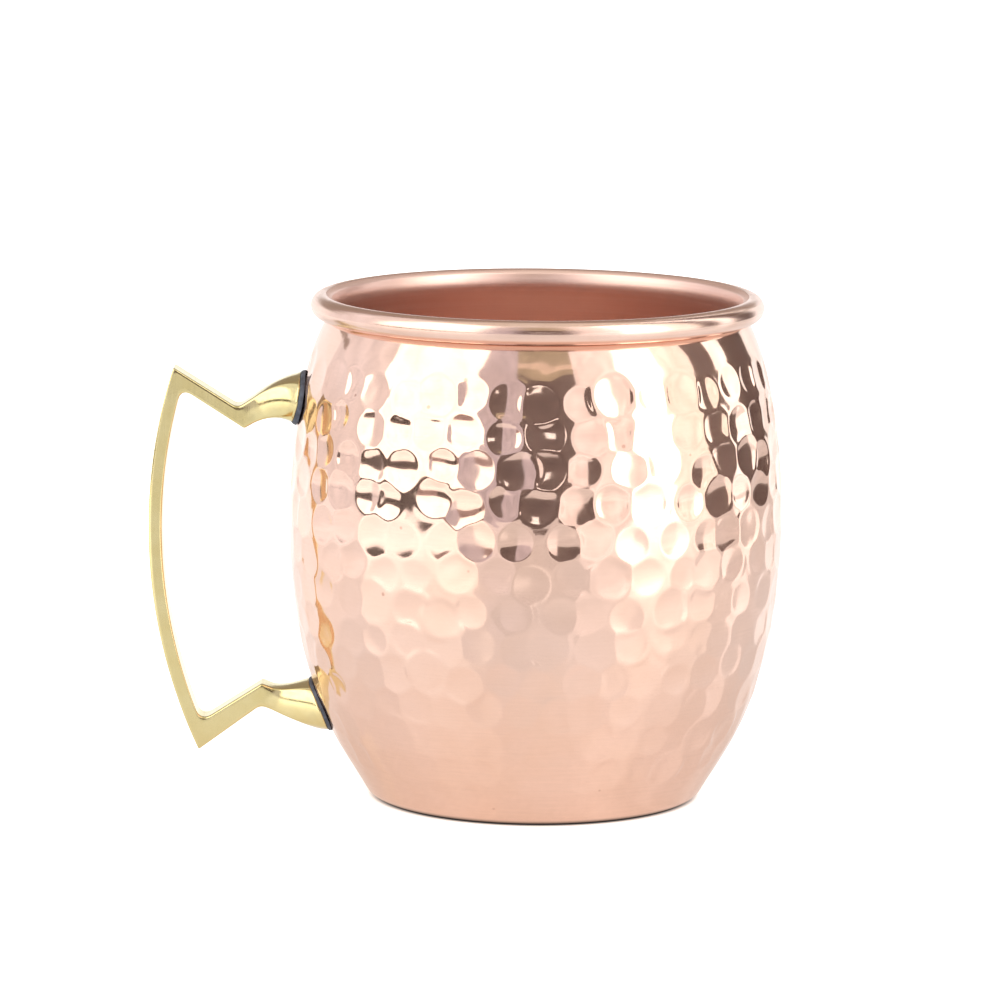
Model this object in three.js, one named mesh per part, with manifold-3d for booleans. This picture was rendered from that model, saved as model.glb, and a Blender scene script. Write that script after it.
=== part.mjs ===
// A hammered copper mug with a cast brass handle, in millimetres, +Z up.
// The origin is the centre of the flat base, and the handle points along -X.
// The body is one sheet of copper, spun to a barrel and rolled outwards at the rim.
// The handle is held by two dome-head screws that come from inside the mug. Each one goes through
// a saddle washer, the wall and a rubber pad, into a blind hole in the handle's foot.

import * as THREE from 'three';
import { mergeVertices } from 'three/addons/utils/BufferGeometryUtils.js';
import Module from 'manifold-3d';

const wasm = await Module();
wasm.setup();
const { Manifold, Mesh: SolidMesh } = wasm;

// ---- Body ----
const height = 94.2; // table to the top of the rolled rim
const bellyRadius = 46; // widest outside radius
const bellyHeight = 54; // where the widest ring lies
const mouthRadius = 37.7; // inside radius of the rim
const baseRadius = 29; // flat face that rests on the table
const baseCorner = 3; // outside radius between the base and the wall
const wall = 0.9; // sheet thickness
const beadRadius = 2.2; // outside radius of the rolled rim
const beadTurn = 285; // degrees that the sheet is rolled through
const neckDrop = 3.4; // from the top of the rim down to where the neck starts to open
const neckBend = 0.8; // outside radius of the bend under the rim
const shoulderLean = 32; // degrees from upright where the shoulder meets that bend
const shoulderPull = 11.9; // how far the shoulder keeps its lean before it curves
const bellyPullUp = 4.8; // how far the belly stays upright above its widest ring
const bellyPullDown = 34.2; // and below it
const footLean = 29.6; // degrees from upright where the wall meets the base corner
const footPull = 8.8; // how far the foot of the wall keeps that lean

// ---- Joint between the wall and the handle ----
const clearance = 0.25; // gap between pieces that touch or nest
const padThickness = 0.5;
const padOverhang = 0.25; // how far a pad stands proud of the foot around its edge
const upperJointDrop = 19.6; // from the top of the rim to the middle of the upper foot
const lowerJointHeight = 16.5; // from the table to the middle of the lower foot
const screwRadius = 1.5;
const screwEngagement = 3.6; // shank length inside the handle's foot
const screwHeadRadius = 3.4;
const screwHeadHeight = 1.8;
const slotWidth = 0.9;
const slotDepth = 0.7;
const washerRadius = 4.6;
const washerThickness = 0.7;
const upperScrewShift = -0.9; // the screws sit off the feet's middles, to stay inside the arms
const lowerScrewShift = 0.9;

// ---- Handle ----
const handleDepth = 6.4; // across the bar, along Y
const handleReach = 26.1; // from the belly's widest ring out to the bow's outer edge
const barThickness = 2.6;
const edgeRound = 0.5; // rounding of the bar's long edges
const tipRise = 5.6; // the upper tip, above the middle of the upper foot
const tipReach = 23.5; // and out from the wall there
const heelDrop = 8.6; // the lower tip, below the middle of the lower foot
const heelReach = 22.9; // and out from the wall there
const armSlope = 32.5; // degrees, underside of the upper arm and top side of the lower arm
const cornerRound = 2.4; // inner corners between the bow and the arms
const valleyRound = 1.1; // outer valleys between the arms and the feet
const footHalfWidth = 8.7; // half width of a foot along Y, where it meets its pad
const footFlare = 1.6; // 1 flares evenly, and more keeps the flare for the pad's end
const footSquareness = 7; // section exponent at the arm: high is a rectangle
const footRoundness = 2.4; // section exponent at the wall: 2 is an ellipse
const rootOverlap = 2.2; // how far the bar runs on inside a foot
const rootInset = 0.5; // how far it then lies under the foot's skin

// Each foot widens from the arm to the wall. "out" is the distance from the wall to the foot's root,
// "deep" is how far its solid runs on inside the wall line before it is cut to a saddle, and the
// heights are the control values of its top and bottom edges, above the middle of the joint.
const upperFoot = {
  out: 10.3, deep: 2.9, top: [-1.3, 2.95, 4.65, 4.9], bottom: [-5.8, -3.35, -2.75, -8.65],
};
const lowerFoot = {
  out: 11.1, deep: 4, top: [4.15, 1.45, 7.55, 3.35], bottom: [-0.05, -2.65, -5.6, -4.35],
};
const upperValley = { out: 11.6, rise: -1.8 };
const lowerValley = { out: 11.3, rise: -0.1 };

// ---- Facets ----
const turnSteps = 56; // around the mug
const footSteps = 24; // around a foot
const footStations = 7; // along a foot
const smallSteps = 20; // around screws, washers and their holes
const barSteps = 9; // along each rounded stretch of the bar's outline

// ---- Colours ----
const copper = { color: '#e8b09a', roughness: 0.18, metalness: 1 };
const brass = { color: '#e6cf8a', roughness: 0.16, metalness: 1 };
const rubber = { color: '#3c404c', roughness: 0.7, metalness: 0 };

const degrees = Math.PI / 180;
const jointHeights = { upper: height - upperJointDrop, lower: lowerJointHeight };

// ---- Solids ----

// Makes a closed geometry into a solid that can be cut and joined.
function toSolid(geometry) {
  const bare = geometry.clone();
  bare.deleteAttribute('normal');
  bare.deleteAttribute('uv');
  const merged = mergeVertices(bare, 1e-3);
  const corners = merged.index.array;
  const kept = [];
  for (let i = 0; i < corners.length; i += 3) {
    const [a, b, c] = [corners[i], corners[i + 1], corners[i + 2]];
    if (a !== b && b !== c && c !== a) kept.push(a, b, c);
  }
  const vertProperties = new Float32Array(merged.attributes.position.array);
  const triVerts = new Uint32Array(kept);
  const solid = new Manifold(new SolidMesh({ numProp: 3, vertProperties, triVerts }));
  if (solid.volume() > 0) return solid;
  for (let i = 0; i < triVerts.length; i += 3) {
    triVerts.set([triVerts[i], triVerts[i + 2], triVerts[i + 1]], i);
  }
  return new Manifold(new SolidMesh({ numProp: 3, vertProperties, triVerts }));
}

function toGeometry(solid) {
  const { vertProperties, triVerts, numProp } = solid.getMesh();
  const geometry = new THREE.BufferGeometry();
  const positions = new Float32Array(triVerts.length * 3);
  triVerts.forEach((vertex, i) => {
    positions.set(vertProperties.subarray(vertex * numProp, vertex * numProp + 3), i * 3);
  });
  geometry.setAttribute('position', new THREE.BufferAttribute(positions, 3));
  geometry.computeVertexNormals();
  return geometry;
}

// A solid of revolution about Z. The profile's points are (radius, height).
function turned(profile, steps = turnSteps) {
  return toSolid(new THREE.LatheGeometry(profile, steps).rotateX(Math.PI / 2));
}

// ---- Wall ----

// The outside face of the sheet, from the base's centre to the rolled edge, as tangent curves.
function outsideCurves() {
  const lean = footLean * degrees;
  const cornerTurn = Math.PI / 2 - lean;
  const foot = new THREE.Vector2(
    baseRadius + baseCorner * Math.sin(cornerTurn),
    baseCorner * (1 - Math.cos(cornerTurn)),
  );
  const neckRadius = mouthRadius + wall;
  const bend = shoulderLean * degrees;
  const neckHeight = height - neckDrop;
  const shoulder = new THREE.Vector2(
    neckRadius + neckBend * (1 - Math.cos(bend)),
    neckHeight - neckBend * Math.sin(bend),
  );
  const beadCentre = new THREE.Vector2(mouthRadius + beadRadius, height - beadRadius);
  const belly = new THREE.Vector2(bellyRadius, bellyHeight);
  const base = new THREE.LineCurve(new THREE.Vector2(0, 0), new THREE.Vector2(baseRadius, 0));
  const corner = new THREE.EllipseCurve(
    baseRadius, baseCorner, baseCorner, baseCorner, -Math.PI / 2, cornerTurn - Math.PI / 2, false,
  );
  const lower = new THREE.CubicBezierCurve(
    foot,
    new THREE.Vector2(foot.x + footPull * Math.sin(lean), foot.y + footPull * Math.cos(lean)),
    new THREE.Vector2(belly.x, belly.y - bellyPullDown),
    belly,
  );
  const upper = new THREE.CubicBezierCurve(
    belly,
    new THREE.Vector2(belly.x, belly.y + bellyPullUp),
    new THREE.Vector2(
      shoulder.x + shoulderPull * Math.sin(bend),
      shoulder.y - shoulderPull * Math.cos(bend),
    ),
    shoulder,
  );
  const neck = new THREE.EllipseCurve(
    neckRadius + neckBend, neckHeight, neckBend, neckBend, Math.PI + bend, Math.PI, true,
  );
  const throat = new THREE.LineCurve(
    new THREE.Vector2(neckRadius, neckHeight),
    new THREE.Vector2(neckRadius, beadCentre.y),
  );
  const curl = new THREE.EllipseCurve(
    beadCentre.x, beadCentre.y, beadRadius - wall, beadRadius - wall,
    Math.PI, Math.PI - beadTurn * degrees, true,
  );
  return { base, corner, lower, upper, neck, throat, curl };
}

const wallCurves = outsideCurves();

// Points of a curve, moved sideways: positive is away from the copper, off the outside face.
function offsetPoints(curve, steps, distance) {
  const points = [];
  for (let i = 0; i <= steps; i += 1) {
    const point = curve.getPoint(i / steps);
    const along = curve.getTangent(i / steps);
    points.push(new THREE.Vector2(point.x + along.y * distance, point.y - along.x * distance));
  }
  return points;
}

function bodySolid() {
  const steps = { base: 1, corner: 3, lower: 8, upper: 7, neck: 2, throat: 1, curl: 10 };
  const outside = [];
  const inside = [];
  for (const [name, count] of Object.entries(steps)) {
    const skip = outside.length === 0 ? 0 : 1;
    outside.push(...offsetPoints(wallCurves[name], count, 0).slice(skip));
    inside.push(...offsetPoints(wallCurves[name], count, -wall).slice(skip));
  }
  return turned([...outside, ...inside.reverse()]);
}

// Everything inside a surface that lies the given distance off the wall's outside face.
function core(distance) {
  const side = [
    ...offsetPoints(wallCurves.lower, 16, distance),
    ...offsetPoints(wallCurves.upper, 14, distance).slice(1),
  ];
  const bottom = new THREE.Vector2(0, side[0].y);
  const top = new THREE.Vector2(0, side[side.length - 1].y);
  return turned([bottom, ...side, top]);
}

function wallLayer(from, to) {
  return core(to).subtract(core(from));
}

// Where the wall's outside face is at a height, and which way it faces, on the handle's side.
function wallAt(level) {
  const curve = level > bellyHeight ? wallCurves.upper : wallCurves.lower;
  let low = 0;
  let high = 1;
  for (let i = 0; i < 40; i += 1) {
    const middle = (low + high) / 2;
    if (curve.getPoint(middle).y < level) low = middle;
    else high = middle;
  }
  const along = curve.getTangent(low);
  return { radius: curve.getPoint(low).x, lean: Math.atan2(-along.x, along.y) };
}

// ---- Screws, washers and their holes ----

// Turns a piece made along +Z so that it points out through the wall at a joint.
function throughWall(solid, level) {
  const { radius, lean } = wallAt(level);
  const pose = new THREE.Matrix4()
    .makeRotationY(-(Math.PI / 2 - lean))
    .setPosition(-radius, 0, level);
  return solid.transform(pose.elements);
}

function rod(radius, from, to) {
  return turned([
    new THREE.Vector2(0, from), new THREE.Vector2(radius, from),
    new THREE.Vector2(radius, to), new THREE.Vector2(0, to),
  ], smallSteps);
}

const padOuterFace = clearance + padThickness;
const footFace = padOuterFace + clearance;
const washerOuterFace = -wall - clearance;
const washerInnerFace = washerOuterFace - washerThickness;
const headSag = washerRadius ** 2 / (2 * mouthRadius); // a flat head bridges the washer's hollow
const headSeat = washerInnerFace - clearance - headSag;

function screwHole(level) {
  return throughWall(rod(screwRadius + clearance, headSeat, footFace + screwEngagement + 0.5), level);
}

function screwSolid(level) {
  const profile = [new THREE.Vector2(0, footFace + screwEngagement)];
  profile.push(new THREE.Vector2(screwRadius, footFace + screwEngagement));
  profile.push(new THREE.Vector2(screwRadius, headSeat));
  profile.push(new THREE.Vector2(screwHeadRadius, headSeat));
  const rimThickness = screwHeadHeight / 4;
  for (let i = 0; i <= 5; i += 1) {
    const turn = (i / 5) * (Math.PI / 2);
    profile.push(new THREE.Vector2(
      i === 5 ? 0 : screwHeadRadius * Math.cos(turn),
      headSeat - rimThickness - (screwHeadHeight - rimThickness) * Math.sin(turn),
    ));
  }
  const slotBox = new THREE.BoxGeometry(4 * screwHeadRadius, slotWidth, 2 * slotDepth);
  slotBox.translate(0, 0, headSeat - screwHeadHeight);
  return throughWall(turned(profile, smallSteps).subtract(toSolid(slotBox)), level);
}

function washerSolid(level) {
  const disc = throughWall(rod(washerRadius, washerInnerFace - 2, 0), level);
  return disc.intersect(wallLayer(washerInnerFace, washerOuterFace)).subtract(screwHole(level));
}

// ---- Handle ----

function cubic(values, t) {
  const s = 1 - t;
  const [a, b, c, d] = values;
  return s * s * s * a + 3 * s * s * t * b + 3 * s * t * t * c + t * t * t * d;
}

// A foot's section grows from the bar's rectangle to a wide oval at the wall.
function footSolid(foot, level, extra) {
  const { radius } = wallAt(level);
  const length = foot.out + foot.deep;
  const grown = new THREE.CylinderGeometry(1, 1, 1, footSteps, footStations);
  const place = grown.attributes.position;
  for (let i = 0; i < place.count; i += 1) {
    const along = place.getY(i) + 0.5;
    const reach = Math.hypot(place.getX(i), place.getZ(i));
    const turn = Math.atan2(place.getZ(i), place.getX(i));
    const top = cubic(foot.top, along) + extra;
    const bottom = cubic(foot.bottom, along) - extra;
    const atWall = Math.min(1, (along * length) / foot.out);
    const width = handleDepth / 2 + (footHalfWidth - handleDepth / 2) * atWall ** footFlare + extra;
    const power = 2 / (footSquareness + (footRoundness - footSquareness) * Math.sqrt(atWall));
    const across = Math.sign(Math.cos(turn)) * Math.abs(Math.cos(turn)) ** power * reach;
    const up = Math.sign(Math.sin(turn)) * Math.abs(Math.sin(turn)) ** power * reach;
    place.setXYZ(
      i,
      -radius - foot.out + along * length,
      across * width,
      level + (top + bottom) / 2 + (up * (top - bottom)) / 2,
    );
  }
  return toSolid(grown);
}

// A point of the handle's outline, from its distance off the wall and its rise from the joint.
function fromJoint(level, out, rise) {
  return new THREE.Vector2(-wallAt(level).radius - out, level + rise);
}

function circleThrough(a, b, c) {
  const d = 2 * (a.x * (b.y - c.y) + b.x * (c.y - a.y) + c.x * (a.y - b.y));
  const [aa, bb, cc] = [a.lengthSq(), b.lengthSq(), c.lengthSq()];
  const centre = new THREE.Vector2(
    (aa * (b.y - c.y) + bb * (c.y - a.y) + cc * (a.y - b.y)) / d,
    (aa * (c.x - b.x) + bb * (a.x - c.x) + cc * (b.x - a.x)) / d,
  );
  return { centre, radius: centre.distanceTo(a) };
}

// Where a line from a point, running away from the mug at a slope, meets the bow's inner edge.
function meetsArc(point, slope, centre, radius) {
  const way = new THREE.Vector2(-Math.cos(slope), Math.sin(slope));
  const start = point.clone().sub(centre);
  const half = start.dot(way);
  const reach = -half + Math.sqrt(half * half - start.lengthSq() + radius * radius);
  return point.clone().addScaledVector(way, reach);
}

// Draws a line to a corner and rounds it off towards the next point.
function roundCorner(shape, before, corner, after, size) {
  const start = corner.clone().add(before.clone().sub(corner).setLength(size));
  const end = corner.clone().add(after.clone().sub(corner).setLength(size));
  shape.lineTo(start.x, start.y);
  shape.quadraticCurveTo(corner.x, corner.y, end.x, end.y);
}

// The side outline of the bar: the bow, the two arms and a short stub inside each foot.
function barOutline() {
  const { upper, lower } = jointHeights;
  const tip = fromJoint(upper, tipReach, tipRise);
  const heel = fromJoint(lower, heelReach, -heelDrop);
  const middle = new THREE.Vector2(-bellyRadius - handleReach, (upper + lower) / 2);
  const bow = circleThrough(tip, middle, heel);
  const innerRadius = bow.radius - barThickness;
  const upperRoot = fromJoint(upper, upperFoot.out, upperFoot.bottom[0]);
  const lowerRoot = fromJoint(lower, lowerFoot.out, lowerFoot.top[0]);
  const valleyTop = fromJoint(upper, upperValley.out, upperValley.rise);
  const valleyBottom = fromJoint(lower, lowerValley.out, lowerValley.rise);
  const stubs = [[upperFoot, upper, 'top', -1], [upperFoot, upper, 'bottom', 1],
    [lowerFoot, lower, 'top', -1], [lowerFoot, lower, 'bottom', 1]];
  const [a, b, c, d] = stubs.map(([foot, level, edge, side]) => {
    const t = rootOverlap / (foot.out + foot.deep);
    return fromJoint(level, foot.out - rootOverlap, cubic(foot[edge], t) + side * rootInset);
  });
  const slope = armSlope * degrees;
  const innerTop = meetsArc(upperRoot, slope, bow.centre, innerRadius);
  const innerBottom = meetsArc(lowerRoot, -slope, bow.centre, innerRadius);
  const angleOf = (point) => Math.atan2(point.y - bow.centre.y, point.x - bow.centre.x);
  const trim = cornerRound / innerRadius;
  const arcPoint = (angle) => new THREE.Vector2(
    bow.centre.x + innerRadius * Math.cos(angle),
    bow.centre.y + innerRadius * Math.sin(angle),
  );
  const topAngle = angleOf(innerTop) + trim;
  const bottomAngle = angleOf(innerBottom) - trim;
  const shape = new THREE.Shape();
  shape.moveTo(tip.x, tip.y);
  roundCorner(shape, tip, valleyTop, a, valleyRound);
  shape.lineTo(a.x, a.y);
  shape.lineTo(b.x, b.y);
  shape.lineTo(upperRoot.x, upperRoot.y);
  roundCorner(shape, upperRoot, innerTop, arcPoint(topAngle), cornerRound);
  shape.absarc(bow.centre.x, bow.centre.y, innerRadius, topAngle, bottomAngle + 2 * Math.PI, false);
  shape.quadraticCurveTo(
    innerBottom.x, innerBottom.y,
    ...innerBottom.clone().add(lowerRoot.clone().sub(innerBottom).setLength(cornerRound)).toArray(),
  );
  shape.lineTo(lowerRoot.x, lowerRoot.y);
  shape.lineTo(c.x, c.y);
  shape.lineTo(d.x, d.y);
  roundCorner(shape, d, valleyBottom, heel, valleyRound);
  shape.lineTo(heel.x, heel.y);
  shape.absarc(
    bow.centre.x, bow.centre.y, bow.radius, angleOf(heel) + 2 * Math.PI, angleOf(tip), true,
  );
  const points = shape.getPoints(barSteps);
  const apart = (point, i) => point.distanceTo(points[(i + 1) % points.length]) > 0.01;
  return new THREE.Shape(points.filter(apart));
}

function handleSolid() {
  const bar = new THREE.ExtrudeGeometry(barOutline(), {
    depth: handleDepth - 2 * edgeRound,
    bevelThickness: edgeRound,
    bevelSize: edgeRound,
    bevelOffset: -edgeRound,
    bevelSegments: 1,
  });
  bar.rotateX(Math.PI / 2).translate(0, handleDepth / 2 - edgeRound, 0);
  return toSolid(bar)
    .add(footSolid(upperFoot, jointHeights.upper, 0))
    .add(footSolid(lowerFoot, jointHeights.lower, 0))
    .subtract(core(footFace))
    .subtract(screwHole(jointHeights.upper + upperScrewShift))
    .subtract(screwHole(jointHeights.lower + lowerScrewShift));
}

function padSolid(foot, level, screwLevel) {
  return footSolid(foot, level, padOverhang)
    .intersect(wallLayer(clearance, padOuterFace))
    .subtract(screwHole(screwLevel));
}

// ---- Assembly ----

const mug = new THREE.Group();

function addPiece(name, solid, finish) {
  const piece = new THREE.Mesh(toGeometry(solid), new THREE.MeshStandardMaterial(finish));
  piece.name = name;
  mug.add(piece);
}

const upperScrewLevel = jointHeights.upper + upperScrewShift;
const lowerScrewLevel = jointHeights.lower + lowerScrewShift;

const body = bodySolid()
  .subtract(screwHole(upperScrewLevel))
  .subtract(screwHole(lowerScrewLevel));
addPiece('body_shell', body, copper);
addPiece('handle', handleSolid(), brass);
addPiece('upper_pad', padSolid(upperFoot, jointHeights.upper, upperScrewLevel), rubber);
addPiece('lower_pad', padSolid(lowerFoot, jointHeights.lower, lowerScrewLevel), rubber);
addPiece('upper_washer', washerSolid(upperScrewLevel), brass);
addPiece('lower_washer', washerSolid(lowerScrewLevel), brass);
addPiece('upper_screw', screwSolid(upperScrewLevel), brass);
addPiece('lower_screw', screwSolid(lowerScrewLevel), brass);

export default mug;
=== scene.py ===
# A hammered copper mug with a cast brass handle, on a pale sweep with soft studio light.
# Sizes in the dictionaries are millimetres unless they say otherwise. Blender works in metres.
import bmesh
import bpy
import math
import random
import numpy as np
from mathutils import Matrix, Vector, noise


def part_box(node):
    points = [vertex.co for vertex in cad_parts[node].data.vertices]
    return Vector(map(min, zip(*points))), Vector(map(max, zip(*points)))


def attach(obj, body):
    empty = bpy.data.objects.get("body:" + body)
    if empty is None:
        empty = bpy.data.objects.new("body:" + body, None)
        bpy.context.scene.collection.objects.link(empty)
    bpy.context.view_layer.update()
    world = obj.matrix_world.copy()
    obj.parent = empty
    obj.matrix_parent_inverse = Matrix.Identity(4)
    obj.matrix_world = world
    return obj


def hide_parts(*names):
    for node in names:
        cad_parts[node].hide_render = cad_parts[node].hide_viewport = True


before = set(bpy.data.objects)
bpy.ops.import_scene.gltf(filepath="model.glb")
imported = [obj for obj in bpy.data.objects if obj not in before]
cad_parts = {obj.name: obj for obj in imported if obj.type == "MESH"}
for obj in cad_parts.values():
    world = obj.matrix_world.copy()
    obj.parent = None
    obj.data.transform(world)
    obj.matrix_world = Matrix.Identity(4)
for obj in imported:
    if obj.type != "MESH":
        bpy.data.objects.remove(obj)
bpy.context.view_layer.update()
mm = 0.001
print("frame loaded")


def linearColour(hexText, alpha=1.0):  # sRGB hex to Blender's linear colour
    values = [int(hexText[i:i + 2], 16) / 255 for i in (1, 3, 5)]
    return [v / 12.92 if v <= 0.04045 else ((v + 0.055) / 1.055) ** 2.4 for v in values] + [alpha]


def addNode(tree, kind, settings=None, links=None):  # settings: properties or inputs; links: input -> output
    node = tree.nodes.new("ShaderNode" + kind)
    for key, value in (settings or {}).items():
        if isinstance(key, str) and hasattr(node, key) and key not in node.inputs:
            setattr(node, key, value)
        else:
            node.inputs[key].default_value = value
    for key, output in (links or {}).items():
        tree.links.new(output, node.inputs[key])
    return node


def newMaterial(name):  # an empty node tree with a Principled shader wired to the output
    material = bpy.data.materials.new(name)
    material.use_nodes = True
    tree = material.node_tree
    shader = tree.nodes["Principled BSDF"]
    return material, tree, shader


def rampStops(ramp, stops):  # [(position, hex or grey value), ...]
    elements = ramp.color_ramp.elements
    while len(elements) < len(stops):
        elements.new(0.5)
    for element, (position, value) in zip(elements, stops):
        element.position = position
        element.color = linearColour(value) if isinstance(value, str) else (value, value, value, 1)


def newPiece(name, vertices, faces, materials, faceSlots=None):  # vertices in mm
    mesh = bpy.data.meshes.new(name)
    mesh.from_pydata((np.asarray(vertices) * mm).tolist(), [], faces)
    piece = bpy.data.objects.new(name, mesh)
    bpy.context.collection.objects.link(piece)
    for material in materials:
        mesh.materials.append(material)
    if faceSlots is not None:
        mesh.polygons.foreach_set("material_index", faceSlots)
    mesh.polygons.foreach_set("use_smooth", [True] * len(mesh.polygons))
    mesh.update()
    return piece


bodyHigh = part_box("body_shell")[1]
mugBody = {
    "height": bodyHigh[2] / mm,
    "bellyRadius": bodyHigh[1] / mm,
    "bellyHeight": 54.0,
    "mouthRadius": 37.7,
    "baseRadius": 29.0,
    "baseCorner": 3.0,
    "wall": 0.9,
    "beadRadius": 2.2,
    "beadTurn": 285.0,
    "neckDrop": 3.4,
    "neckBend": 0.8,
    "shoulderLean": 32.0,
    "shoulderPull": 11.9,
    "bellyPullUp": 4.8,
    "bellyPullDown": 34.2,
    "footLean": 29.6,
    "footPull": 8.8,
    "lineSteps": 400,  # points along each stretch of the wall's line
    "mouthEasing": 60,  # passes of smoothing under the mouth, inside
    "mouthDepth": 8.0,  # how far below the neck the inside is eased
    "curlRows": 44,  # mesh rows round the inside of the bead
    "neckRows": 12,
    "mouthRows": 22,
    "burnishedRows": 32,  # of the curl's rows, those before the satin inside starts
    "columns": 800,  # mesh columns round the mug
    "hammeredStep": 0.36,  # mesh row spacing where the wall is hammered
    "plainStep": 1.6,  # and on the smooth inside
}


def bezierCurve(controls, t):
    a, b, c, d = [np.array(p, float) for p in controls]
    t = t[:, None]
    s = 1 - t
    points = s ** 3 * a + 3 * s ** 2 * t * b + 3 * s * t ** 2 * c + t ** 3 * d
    along = 3 * (s ** 2 * (b - a) + 2 * s * t * (c - b) + t ** 2 * (d - c))
    return points, along / np.linalg.norm(along, axis=1)[:, None]


def arcCurve(centre, radius, start, end, t):
    angle = start + (end - start) * t
    way = 1 if end > start else -1
    points = np.array(centre) + radius * np.stack([np.cos(angle), np.sin(angle)], 1)
    return points, way * np.stack([-np.sin(angle), np.cos(angle)], 1)


def lineCurve(start, end, t):
    start, end = np.array(start, float), np.array(end, float)
    along = (end - start) / np.linalg.norm(end - start)
    return start + np.outer(t, end - start), np.tile(along, (len(t), 1))


def wallLine(size):  # outside face, base centre to rolled edge: points, normals, arc lengths, ends
    t = np.linspace(0, 1, size["lineSteps"])
    lean, bend = math.radians(size["footLean"]), math.radians(size["shoulderLean"])
    turn = math.pi / 2 - lean
    corner = size["baseCorner"]
    foot = (size["baseRadius"] + corner * math.sin(turn), corner * (1 - math.cos(turn)))
    neck = size["mouthRadius"] + size["wall"]
    neckHeight = size["height"] - size["neckDrop"]
    neckBend = size["neckBend"]
    shoulder = (neck + neckBend * (1 - math.cos(bend)), neckHeight - neckBend * math.sin(bend))
    belly = (size["bellyRadius"], size["bellyHeight"])
    bead = (size["mouthRadius"] + size["beadRadius"], size["height"] - size["beadRadius"])
    pull, shoulderPull = size["footPull"], size["shoulderPull"]
    curves = [
        lineCurve((0, 0), (size["baseRadius"], 0), t),
        arcCurve((size["baseRadius"], corner), corner, -math.pi / 2, turn - math.pi / 2, t),
        bezierCurve([foot, (foot[0] + pull * math.sin(lean), foot[1] + pull * math.cos(lean)),
                     (belly[0], belly[1] - size["bellyPullDown"]), belly], t),
        bezierCurve([belly, (belly[0], belly[1] + size["bellyPullUp"]),
                     (shoulder[0] + shoulderPull * math.sin(bend),
                      shoulder[1] - shoulderPull * math.cos(bend)), shoulder], t),
        arcCurve((neck + neckBend, neckHeight), neckBend, math.pi + bend, math.pi, t),
        lineCurve((neck, neckHeight), (neck, bead[1]), t),
        arcCurve(bead, size["beadRadius"] - size["wall"], math.pi,
                 math.pi - math.radians(size["beadTurn"]), t),
    ]
    points = np.concatenate([c[0] for c in curves])
    along = np.concatenate([c[1] for c in curves])
    length = np.concatenate([[0], np.cumsum(np.linalg.norm(np.diff(points, axis=0), axis=1))])
    keep = np.concatenate([[True], np.diff(length) > 1e-6])
    ends = [length[len(t) * (i + 1) - 1] for i in range(len(curves))]
    normals = np.stack([along[:, 1], -along[:, 0]], 1)
    return points[keep], normals[keep], length[keep], dict(zip(
        ["base", "corner", "lower", "upper", "neck", "throat", "curl"], ends))


linePoints, lineNormals, lineLength, lineEnds = wallLine(mugBody)


def onWall(where):  # outside points and normals at arc lengths
    point = np.stack([np.interp(where, lineLength, linePoints[:, i]) for i in (0, 1)], 1)
    normal = np.stack([np.interp(where, lineLength, lineNormals[:, i]) for i in (0, 1)], 1)
    return point, normal / np.linalg.norm(normal, axis=1)[:, None]


sideMask = (lineLength > lineEnds["corner"]) & (lineLength < lineEnds["upper"])


def wallRadius(level, off=0.0):  # radius of the surface that lies off the outside face, at a height
    points = linePoints[sideMask] + off * lineNormals[sideMask]
    return np.interp(level, points[:, 1], points[:, 0])


copperLook = {
    "warm": "#f1ccb8",
    "pale": "#f5d3c3",
    "speck": "#b98a74",
    "speckSpacing": 9.0,
    "hazeRoughness": 0.3,
    "hazeStretch": 0.75,
    "hazeLeast": 0.14,
    "hazeMost": 0.2,
    "inside": "#fadace",
    "insideWarm": "#f6d2c4",
    "bead": "#f9d8c9",
    "beadWarm": "#f3cfbd",
}


def objectPosition(tree, scalePerMm):  # object coordinates, scaled so that 1 unit is 1/scalePerMm mm
    coordinates = addNode(tree, "TexCoord")
    return addNode(tree, "VectorMath", {"operation": "SCALE", "Scale": 1000 * scalePerMm},
                   {0: coordinates.outputs["Object"]}).outputs[0]


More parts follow.
